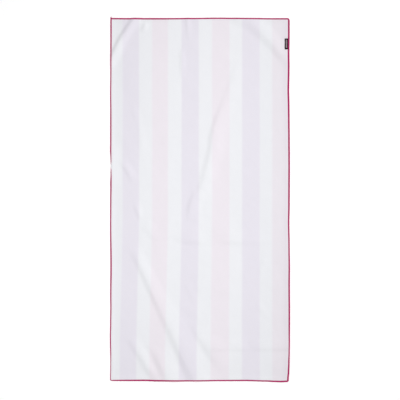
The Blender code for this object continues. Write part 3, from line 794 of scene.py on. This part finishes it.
def stripe_group(colours):
    """Soft-edged lengthwise stripes that lean a little towards the bottom."""
    group, given, result = new_group("pastel_stripes", {"Strength": 1.0}, {"Color": "NodeSocketColor"})
    place = add_node(group, "ShaderNodeSeparateXYZ", {0: given["Vector"]}).outputs
    down = soft_step(group, place["Y"], LEAN_TOP, LEAN_BOTTOM, high=LEAN_WIDTH)
    across = soft_step(group, place["X"], LEAN_RIGHT, LEAN_LEFT)
    straight = math_node(group, "MULTIPLY_ADD", down, across, place["X"])
    wander = noise_node(group, Vector=given["Vector"], Scale=5.0, Detail=1.0)
    centred = math_node(group, "SUBTRACT", wander, 0.5)
    straight = math_node(group, "MULTIPLY_ADD", centred, STRIPE_WANDER, straight)
    left = -HALF_WIDTH - STRIPE_MARGIN
    width = STRIPES[-1].end * MM - left
    share = math_node(group, "DIVIDE", math_node(group, "SUBTRACT", straight, left), width)

    bands = add_node(group, "ShaderNodeValToRGB", {"Fac": share})
    ramp = bands.color_ramp
    ramp.interpolation = "EASE"
    while len(ramp.elements) > 1:
        ramp.elements.remove(ramp.elements[-1])
    white = np.array(colours.white)
    start = left
    for stripe in STRIPES:
        end = stripe.end * MM
        tone = white + (np.array(getattr(colours, stripe.tone)) - white) * stripe.strength
        for edge in (start + STRIPE_BLEND, end - STRIPE_BLEND):
            ramp.elements.new((edge - left) / width).color = (*tone, 1.0)
        start = end
    # The ramp's own first element carries the first stripe out to the edge.
    ramp.elements[0].position = 0.0
    ramp.elements[0].color = ramp.elements[1].color
    mix = add_node(group, "ShaderNodeMix",
                   {"Factor": given["Strength"], "A": (*colours.reverse, 1.0),
                    "B": bands.outputs["Color"]}, data_type="RGBA")
    set_inputs(group, result, {"Color": mix.outputs["Result"]})
    return group


def crease_shade_group():
    """Painted shade along pressed creases across the cloth, broken up where the folding was soft."""
    group, given, result = new_group("painted_crease_shade", {"Amount": 1.0}, {"Shade": "NodeSocketFloat"})
    place = add_node(group, "ShaderNodeSeparateXYZ", {0: given["Vector"]}).outputs
    patches = noise_node(group, Vector=given["Vector"], Scale=18.0, Detail=2.0)
    broken = math_node(group, "ADD", patches, PRESS_LEAST)
    darker = 0.0
    for line in CREASE_SHADE_LINES:
        away = math_node(group, "SUBTRACT", place["Y"], line.y * MM)
        across = soft_step(group, math_node(group, "ABSOLUTE", away), line.half_width * MM, 0.0)
        begin = soft_step(group, place["X"], (line.start - PRESS_FADE) * MM, line.start * MM)
        end = soft_step(group, place["X"], (line.end + PRESS_FADE) * MM, line.end * MM)
        mask = math_node(group, "MULTIPLY", math_node(group, "MULTIPLY", begin, end), across)
        mask = math_node(group, "MULTIPLY", mask, broken)
        darker = math_node(group, "MULTIPLY_ADD", mask, line.shade, darker)
    amount = math_node(group, "MULTIPLY", darker, given["Amount"])
    set_inputs(group, result, {"Shade": math_node(group, "SUBTRACT", 1.0, amount)})
    return group


def yarn_group():
    """Twisted plies along a thread, from its own length and turn coordinates."""
    group, given, result = new_group(
        "thread_twist", {"Twists per Metre": 900.0, "Fuzz Scale": 2500.0},
        {"Shade": "NodeSocketFloat", "Height": "NodeSocketFloat"})
    place = add_node(group, "ShaderNodeSeparateXYZ", {0: given["Vector"]}).outputs
    along = math_node(group, "MULTIPLY", place["X"], given["Twists per Metre"])
    turn = math_node(group, "MULTIPLY_ADD", place["Y"], PLIES, along)
    ply = math_node(group, "SINE", math_node(group, "MULTIPLY", turn, 2 * math.pi))
    fuzz = noise_node(group, Vector=given["Vector"], Scale=given["Fuzz Scale"], Detail=2.0)
    height = math_node(group, "MULTIPLY_ADD", ply, PLY_DEPTH, fuzz)
    # Painted shade: darker in the grooves between the plies, lighter on their tops.
    shade = math_node(group, "MULTIPLY_ADD", height, PLY_LIGHT, PLY_DARK)
    set_inputs(group, result, {"Shade": shade, "Height": height})
    return group


def place_group(tree, name, inputs, make, *values):
    """Outputs of the group of that name in a material. The group is made where it isn't there yet."""
    group = bpy.data.node_groups.get(name) or make(*values)
    return add_node(tree, "ShaderNodeGroup", inputs, node_tree=group).outputs


def new_material(name, inputs):
    """A material, its nodes and its shader, with constant values on the shader's own sockets."""
    material = bpy.data.materials.new(name)
    material.use_nodes = True
    tree = material.node_tree
    shader = tree.nodes["Principled BSDF"]
    set_inputs(tree, shader, inputs)
    return material, tree, shader


def shade_and_bump(tree, shader, colour, shade, height, depth, strength):
    """Feed the base colour, darkened by shade, and a bump from height."""
    mix = add_node(tree, "ShaderNodeMix", {"Factor": 1.0, "A": colour, "B": shade},
                   data_type="RGBA", blend_type="MULTIPLY")
    bump = add_node(tree, "ShaderNodeBump", {"Strength": strength, "Distance": depth, "Height": height})
    set_inputs(tree, shader, {"Base Color": mix.outputs["Result"], "Normal": bump.outputs["Normal"]})


def cloth_material(name, strength, colours):
    """Brushed towelling: stripes at the given strength, with pile, nap and painted crease shade."""
    material, tree, shader = new_material(name, {
        "Roughness": 0.95, "Sheen Weight": 0.12, "Sheen Roughness": 0.6, "Specular IOR Level": 0.25})
    where = add_node(tree, "ShaderNodeTexCoord").outputs["Object"]
    stripes = place_group(tree, "pastel_stripes", {"Vector": where, "Strength": strength},
                          stripe_group, colours)
    pile = place_group(tree, "towelling_pile", {"Vector": where}, pile_group)
    # Painted shade along the pressed creases.
    pressed = place_group(tree, "painted_crease_shade", {"Vector": where}, crease_shade_group)
    shade = math_node(tree, "MULTIPLY", pile["Shade"], pressed["Shade"])
    shade_and_bump(tree, shader, stripes["Color"], shade, pile["Height"],
                   depth=0.25 * MM, strength=0.35)
    return material


def thread_material(name, colour, twists, sheen=0.05):
    """A twisted thread of one colour."""
    material, tree, shader = new_material(name, {
        "Roughness": 0.55, "Sheen Weight": sheen, "Sheen Roughness": 0.4, "Specular IOR Level": 0.25})
    where = add_node(tree, "ShaderNodeUVMap", uv_map="thread").outputs["UV"]
    twist = place_group(tree, "thread_twist", {"Vector": where, "Twists per Metre": twists}, yarn_group)
    shade_and_bump(tree, shader, (*colour, 1.0), twist["Shade"], twist["Height"],
                   depth=0.05 * MM, strength=0.5)
    return material


def ribbon_material(name, colour):
    """Taffeta ribbon: fine warp and weft ribs, with painted shade between them."""
    material, tree, shader = new_material(name, {"Roughness": 0.6, "Specular IOR Level": 0.06})
    where = add_node(tree, "ShaderNodeTexCoord").outputs["Object"]
    ribs = []
    for direction, spacing in RIBS:
        wave = add_node(tree, "ShaderNodeTexWave",
                        {"Vector": where, "Scale": WAVE_SPACING / spacing, "Distortion": 0.6},
                        bands_direction=direction)
        ribs.append(wave.outputs["Fac"])
    height = math_node(tree, "MULTIPLY", *ribs)
    # Painted shade: darker between the ribs, lighter on their tops.
    shade = math_node(tree, "MULTIPLY_ADD", height, RIB_LIGHT, RIB_DARK)
    shade_and_bump(tree, shader, (*colour, 1.0), shade, height, depth=0.1 * MM, strength=0.5)
    return material


# ---------------------------------------------------------------- the pieces


class TOWEL_OT_lay_cloth(bpy.types.Operator):
    """Lay out the striped cloth on its folds"""

    bl_idname = "towel.lay_cloth"
    bl_label = "Lay out the cloth"

    def execute(self, context):
        sizes, colours = context.scene.towel_sizes, context.scene.towel_colours
        overhang = sizes.edging_width / 2 - CUT_INSET
        places, wide, tall = cloth_grid(sizes.mesh_step, overhang)
        low = cloth_underside(places, sizes.thread)
        top = np.column_stack([places, low + sizes.thickness])
        points = turn_under(np.vstack([top, np.column_stack([places, low])]), sizes)
        faces, face_materials = sheet_faces(wide, tall)
        face_side = cloth_material("striped_towelling", 1.0, colours)
        reverse = cloth_material("towelling_reverse", REVERSE_STRENGTH, colours)
        sheet = add_piece("towel_sheet", points, faces, (face_side, reverse),
                          face_materials=face_materials)
        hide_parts("towel_cloth")
        return {"FINISHED"}


# A thread of the edging: its thickness is a share of the plain thread's, its unevenness a share
# of a stitch along the edging and as many mm across it.
Thread = namedtuple("Thread", "name pattern thickness sides unevenness seed over_label")


def tail_taper(along, run, sizes, amount):
    """What is left of the edging's width and height, which shrink by an amount along its tail."""
    start = run.length - sizes.tail + sizes.edging_width / 2
    return 1.0 - amount * np.clip((along - start) / (run.length - start), 0.0, 1.0)


class TOWEL_OT_sew_edging(bpy.types.Operator):
    """Sew the overlocked edging round the cloth"""

    bl_idname = "towel.sew_edging"
    bl_label = "Sew the edging"

    # Thread paths of one stitch: share of the stitch, share of the half width outwards, and mm
    # above the floor.
    upper = ((0.00, 1.00, 1.55), (0.07, 0.88, 2.50), (0.20, 0.15, 2.75), (0.34, -0.94, 2.72),
             (0.46, -0.97, 2.72), (0.66, 0.05, 2.75), (0.90, 0.88, 2.50))
    lower = ((0.50, 1.00, 1.45), (0.62, 0.80, 0.40), (0.84, -0.92, 0.27), (0.98, -0.95, 0.27),
             (1.32, 0.80, 0.40))
    needle = ((0.00, -0.72, 2.45), (0.25, -0.72, 2.98), (0.75, -0.72, 2.98))
    threads = (Thread("upper_looper_thread", upper, 1.0, 5, 0.050, 11, True),
               Thread("lower_looper_thread", lower, 1.0, 4, 0.030, 12, False),
               Thread("needle_thread", needle, 0.8, 5, 0.020, 13, True))
    # How much lower and narrower the threads are at the tip of the tail.
    thread_taper = 0.55
    # How far the label's end raises the threads that cross it, and how far on they come down.
    label_rise = 1.25 * MM
    label_slope = 5.0 * MM

    # The dense layer under the threads: heights of its outer and inner faces in mm above the
    # floor, from the start of an arm, round the side and back to the end of the other arm.
    outer_heights = (0.50, 1.00, 2.00, 2.50)
    inner_heights = (2.25, 1.90, 1.10, 0.75)
    # How far it lies inside the threads, how thick it is round the cut edge, how far its
    # corners are cut, the number of points along an arm, and its taper at the tip of the tail.
    band_inset = 0.25 * MM
    band_wall = 0.25 * MM
    band_chamfer = 0.6 * MM
    arm_points = 11
    band_taper = 0.6

    def execute(self, context):
        sizes, colours = context.scene.towel_sizes, context.scene.towel_colours
        run = Run(edging_run(sizes.tail))
        crimson = thread_material("edging_thread", colours.thread, THREAD_TWISTS)
        band = self.make_band(run, sizes, crimson)
        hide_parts("edging")
        for thread in self.threads:
            places, height = self.stitch_path(run, thread, sizes)
            height = height + ground_rise(places)
            if thread.over_label:
                height += self.label_lift(places)
            path = turn_under(finer_thread(np.column_stack([places, height])), sizes)
            points, faces, uvs = sweep_thread(path, sizes.thread / 2 * thread.thickness, thread.sides)
            add_piece(thread.name, points, faces, (crimson,), uvs=uvs)
        return {"FINISHED"}

    def stitch_path(self, run, thread, sizes):
        """A thread's places and heights: its pattern repeated along the run, a little unevenly."""
        rng = np.random.default_rng(thread.seed)
        half = (sizes.edging_width - sizes.thread) / 2
        stitches = int(run.length / sizes.pitch)
        pattern = np.array(thread.pattern, float)
        share = np.arange(stitches)[:, None] + pattern[None, :, 0]
        along = (share + rng.normal(0.0, thread.unevenness, share.shape)) * sizes.pitch
        along = np.clip(np.maximum.accumulate(along.ravel()), 0.0, run.length)
        outward = pattern[None, :, 1] * half + rng.normal(0.0, thread.unevenness, share.shape) * MM
        height = np.tile(pattern[:, 2], stitches) * MM
        taper = tail_taper(along, run, sizes, self.thread_taper)
        places = run.at(along, outward.ravel() * taper * edging_spread(along))
        return places, height * taper

    def label_lift(self, places):
        """How far threads are raised where they cross the label's end."""
        low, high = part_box("side_label")
        beyond = np.maximum(places[:, 1] - high.y, low.y - places[:, 1])
        lift = self.label_rise * (1.0 - smooth(beyond / self.label_slope))
        return np.where(places[:, 0] > low.x, lift, 0.0)

    def face_section(self, arm, side, heights):
        """One face of the band's section, as (place outwards, mm above the floor)."""
        start, first_corner, second_corner, end = heights
        corners = [(side, first_corner), (side, second_corner)]
        return [(x, start) for x in arm] + corners + [(x, end) for x in arm[::-1]]

    def make_band(self, run, sizes, material):
        """The dense thread layer under the loops: over, round and under the cut edge."""
        half = sizes.edging_width / 2 - self.band_inset
        arm = np.linspace(-half, half - self.band_chamfer, self.arm_points)
        section = self.face_section(arm, half, self.outer_heights)
        section += self.face_section(arm, half - self.band_wall, self.inner_heights)
        outward, height = np.array(section).T
        on_left = np.where(run.line[:, 0] < 0.0, run.line[:, 1], HALF_LENGTH)
        steps = finer_at_turn(run.reach, on_left)
        count, size = len(steps), len(section)
        along = np.repeat(steps, size)
        taper = tail_taper(along, run, sizes, self.band_taper)
        places = run.at(along, np.tile(outward, count) * taper * edging_spread(along))
        points = np.column_stack([places, np.tile(height * MM, count) * taper + ground_rise(places)])
        points = turn_under(points, sizes)
        return add_piece("edging_band", points, tube_faces(count, size), (material,),
                         uvs=tube_uvs(steps, size))


class TOWEL_OT_sew_label(bpy.types.Operator):
    """Sew the folded woven label into the right-hand seam"""

    bl_idname = "towel.sew_label"
    bl_label = "Sew in the label"

    # Points across each layer, steps along it, and points round the fold.
    columns = 14
    rows = 40
    fold_points = 6
    # Both layers together, how far they lie above the cloth, the rounding of the corners, how
    # far the folded edge curls up and by which power it levels out to the ends, and how far the
    # lower end reaches past its place in the seam.
    height = 0.9 * MM
    cloth_gap = 0.35 * MM
    corner = 1.7 * MM
    curl = 0.35 * MM
    curl_power = 3
    lower_reach = 0.9 * MM
    # The bar: spacing and radius of its stitches, points along one and sides round it, how high
    # its middle lies on the ribbon, how far it arches and by which power it falls off to the
    # ends, and how uneven the stitches' width and place is.
    stitch_pitch = 0.55 * MM
    stitch_radius = 0.26 * MM
    stitch_points = 7
    stitch_sides = 6
    stitch_height = 0.78 * MM
    stitch_arch = 0.16 * MM
    arch_power = 6
    stitch_wobble = 0.02
    stitch_drift = 0.04 * MM
    seed = 21

    def execute(self, context):
        sizes, colours = context.scene.towel_sizes, context.scene.towel_colours
        low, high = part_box("side_label")
        black = ribbon_material("label_ribbon", colours.ribbon)
        ribbon = self.make_ribbon(sizes, low - Vector((0.0, self.lower_reach, 0.0)), high, black)
        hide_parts("side_label")
        grey = thread_material("label_bar_thread", colours.bar, BAR_TWISTS, sheen=0.1)
        self.make_bar(sizes, low, high, grey)
        return {"FINISHED"}

    def surface(self, x, y, sizes, low, high):
        """Height of the ribbon's lower face above the floor."""
        places = np.column_stack([x, y])
        base = cloth_underside(places, sizes.thread) + sizes.thickness + self.cloth_gap
        free = 1.0 - smooth((x - low.x) / (high.x - low.x))
        middle = 1.0 - np.abs(2 * (y - low.y) / (high.y - low.y) - 1.0) ** self.curl_power
        return base + self.curl * free * middle

    def make_ribbon(self, sizes, low, high, material):
        """The ribbon, folded over itself at its free edge."""
        turn = (self.height - sizes.ribbon) / 2
        flat = np.linspace(high.x, low.x + turn + sizes.ribbon / 2, self.columns)
        arc = np.linspace(0.0, math.pi, self.fold_points + 2)[1:-1]
        x = np.concatenate([flat, flat[-1] - turn * np.sin(arc), flat[::-1]])
        z = np.concatenate([np.zeros(self.columns), turn * (1.0 - np.cos(arc)),
                            np.full(self.columns, 2 * turn)]) + sizes.ribbon / 2
        share = np.linspace(-1.0, 1.0, self.rows + 1)
        inward = np.clip(self.corner - (x - low.x), 0.0, self.corner)
        cut = self.corner - np.sqrt(self.corner ** 2 - inward ** 2)
        middle, half = (low.y + high.y) / 2, (high.y - low.y) / 2
        grid_x = np.tile(x, self.rows + 1)
        grid_y = (middle + share[:, None] * (half - cut[None, :])).ravel()
        base = self.surface(grid_x, grid_y, sizes, low, high)
        points = np.column_stack([grid_x, grid_y, base + np.tile(z, self.rows + 1)])
        wide = len(x)
        rows = np.arange(self.rows)[:, None] * wide
        here = (rows + np.arange(wide - 1)[None, :]).ravel()
        faces = np.stack([here, here + wide, here + wide + 1, here + 1], 1)
        ribbon = add_piece("label_ribbon", points, faces, (material,))
        solid = ribbon.modifiers.new("ribbon thickness", "SOLIDIFY")
        solid.thickness = sizes.ribbon
        solid.offset = 0.0
        return ribbon

    def make_bar(self, sizes, low, high, material):
        """A plain bar of satin stitches, side by side down the middle of the label."""
        middle_x, middle_y = (low.x + high.x) / 2, (low.y + high.y) / 2
        start, end = middle_y - sizes.bar_length / 2, middle_y + sizes.bar_length / 2
        across = np.linspace(-0.5, 0.5, self.stitch_points)
        arch = self.stitch_arch * np.sqrt(np.clip(1.0 - (2 * across) ** self.arch_power, 0.0, 1.0))
        threads = []
        rng = np.random.default_rng(self.seed)
        for row in np.arange(start, end, self.stitch_pitch):
            x = middle_x + across * sizes.bar_width * (1.0 + rng.normal(0.0, self.stitch_wobble))
            y = np.full(self.stitch_points, row) + rng.normal(0.0, self.stitch_drift)
            z = self.surface(x, y, sizes, low, high) + self.stitch_height + arch
            path = np.column_stack([x, y, z])
            threads.append(sweep_thread(path, self.stitch_radius, self.stitch_sides))
        points, faces, uvs = join_threads(threads)
        return add_piece("label_bar", points, faces, (material,), uvs=uvs)


# ---------------------------------------------------------------- floor, lights, camera


def aim_at(thing, target):
    thing.rotation_euler = (Vector(target) - thing.location).to_track_quat("-Z", "Y").to_euler()


class TOWEL_OT_set_stage(bpy.types.Operator):
    """Set out the pale floor, the soft lights and the camera overhead"""

    bl_idname = "towel.set_stage"
    bl_label = "Set the stage"

    floor_half = 15.0
    floor_drop = 0.2 * MM
    # Lens and sensor of the camera, in the camera's own mm.
    camera_lens = 100.0
    sensor = 36.0
    # The middle of the view lies a little off the towel's own middle.
    view_middle = (0.2 * MM, -1.3 * MM)
    # The key light is a distant one: only its direction counts, not its distance.
    key_distance = 4.0
    key_spread = math.radians(14)
    top_size = (1.6, 2.3)
    top_place = (0.1, 0.1, 0.8)
    top_turn = math.radians(-18)

    def execute(self, context):
        stage = context.scene.towel_stage
        self.make_floor(stage)
        self.make_lights(context.scene, stage)
        self.make_camera(context.scene, stage)
        context.scene.view_settings.view_transform = "Standard"
        return {"FINISHED"}

    def make_floor(self, stage):
        half = self.floor_half
        mesh = bpy.data.meshes.new("floor")
        corners = [(-half, -half), (half, -half), (half, half), (-half, half)]
        mesh.from_pydata([(x, y, -self.floor_drop) for x, y in corners], [], [(0, 1, 2, 3)])
        material, _, _ = new_material("pale_floor", {
            "Base Color": (*stage.floor, 1.0), "Roughness": 0.9, "Specular IOR Level": 0.1})
        mesh.materials.append(material)
        floor = bpy.data.objects.new("floor", mesh)
        bpy.context.scene.collection.objects.link(floor)

    def make_lights(self, scene, stage):
        key_data = bpy.data.lights.new("key_light", "SUN")
        key_data.energy = stage.key_power
        key_data.angle = self.key_spread
        key_data.use_shadow = False
        key = bpy.data.objects.new("key_light", key_data)
        flat = math.cos(stage.key_height)
        direction = Vector((flat * math.cos(stage.key_turn), flat * math.sin(stage.key_turn),
                            math.sin(stage.key_height)))
        key.location = direction * self.key_distance
        aim_at(key, (0.0, 0.0, 0.0))
        top_data = bpy.data.lights.new("top_light", "AREA")
        top_data.energy = stage.top_power
        top_data.shape = "RECTANGLE"
        top_data.size, top_data.size_y = self.top_size
        top = bpy.data.objects.new("top_light", top_data)
        top.location = self.top_place
        top.rotation_euler.z = self.top_turn
        top.visible_camera = False
        for light in (key, top):
            scene.collection.objects.link(light)
        world = bpy.data.worlds.new("even_light")
        world.use_nodes = True
        backdrop = world.node_tree.nodes["Background"]
        backdrop.inputs["Color"].default_value = (1.0, 1.0, 1.0, 1.0)
        backdrop.inputs["Strength"].default_value = stage.ambient
        scene.world = world

    def make_camera(self, scene, stage):
        data = bpy.data.cameras.new("camera")
        data.lens = self.camera_lens
        data.sensor_width = self.sensor
        camera = bpy.data.objects.new("camera", data)
        height = stage.view_width * self.camera_lens / self.sensor
        camera.location = (*self.view_middle, height)
        scene.collection.objects.link(camera)
        scene.camera = camera


PIECES = (TOWEL_OT_lay_cloth, TOWEL_OT_sew_edging, TOWEL_OT_sew_label)


class VIEW3D_PT_towel(bpy.types.Panel):
    """Sizes and colours of the towel, and the buttons that make it"""

    bl_idname = "VIEW3D_PT_towel"
    bl_label = "Beach towel"
    bl_space_type = "VIEW_3D"
    bl_region_type = "UI"
    bl_category = "Towel"

    def draw(self, context):
        scene = context.scene
        for group in (scene.towel_sizes, scene.towel_colours, scene.towel_stage):
            box = self.layout.box()
            for name in group.bl_rna.properties.keys():
                if name not in ("rna_type", "name"):
                    box.prop(group, name)
        for operator in (*PIECES, TOWEL_OT_set_stage):
            self.layout.operator(operator.bl_idname)


CLASSES = (TowelSizes, TowelColours, TowelStage, *PIECES, TOWEL_OT_set_stage, VIEW3D_PT_towel)


def register():
    for item in CLASSES:
        bpy.utils.register_class(item)
    bpy.types.Scene.towel_sizes = bpy.props.PointerProperty(type=TowelSizes)
    bpy.types.Scene.towel_colours = bpy.props.PointerProperty(type=TowelColours)
    bpy.types.Scene.towel_stage = bpy.props.PointerProperty(type=TowelStage)


def unregister():
    for name in ("towel_sizes", "towel_colours", "towel_stage"):
        delattr(bpy.types.Scene, name)
    for item in reversed(CLASSES):
        bpy.utils.unregister_class(item)


def main():
    register()
    bpy.ops.towel.lay_cloth()
    bpy.ops.towel.sew_edging()
    bpy.ops.towel.sew_label()
    bpy.ops.towel.set_stage()


if __name__ == "__main__":
    main()
